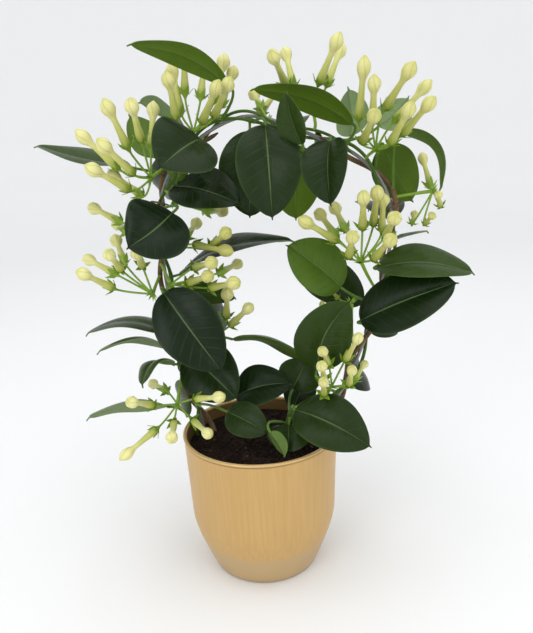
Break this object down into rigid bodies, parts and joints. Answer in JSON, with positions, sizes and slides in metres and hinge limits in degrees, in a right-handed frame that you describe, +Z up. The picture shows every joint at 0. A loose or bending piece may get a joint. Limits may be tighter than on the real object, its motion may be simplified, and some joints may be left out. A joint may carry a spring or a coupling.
{
  "type": "potted madagascar jasmine",
  "caption": "Climbing plant with leathery oval leaves and waxy bud clusters, twined over a wire hoop in a tapered glazed pot.",
  "frame": {"origin": "centre of the pot's flat base, on the surface it stands on", "axes": "+Z up along the pot's axis; the plant's front, as pictured, faces -Y; the hoop spans X"},
  "size_m": [0.3517, 0.1779, 0.4442],
  "materials": {
    "pot": "satin gold lustre glaze with fine upright brush marks",
    "soil": "dark crumbly potting soil",
    "wire": "dull galvanised wire",
    "tie": "thin brown coated wire",
    "leaves": "glossy dark green, paler undersides",
    "buds": "waxy cream with green sepals and stalks"
  },
  "bodies": {
    "root": {"pot": "pot", "soil": "soil", "hoop": "wire", "tie_left": "tie", "tie_top": "tie", "tie_right": "tie", "vine_left_green": "leaves", "vine_left_woody": "leaves", "vine_right_green": "leaves", "vine_right_woody": "leaves", "vine_front_shoot": "leaves", "umbel_crown": "buds", "umbel_crown_back": "buds", "umbel_crown_left": "buds", "umbel_crown_right": "buds", "umbel_inner_bottom": "buds", "umbel_inner_high": "buds", "umbel_inner_low": "buds", "umbel_inner_top": "buds", "umbel_left_high": "buds", "umbel_left_low": "buds", "umbel_left_middle": "buds", "umbel_left_outer": "buds", "umbel_low_right": "buds", "umbel_right_high": "buds", "umbel_right_outer": "buds", "umbel_right_young": "buds"}
  },
  "joints": []
}
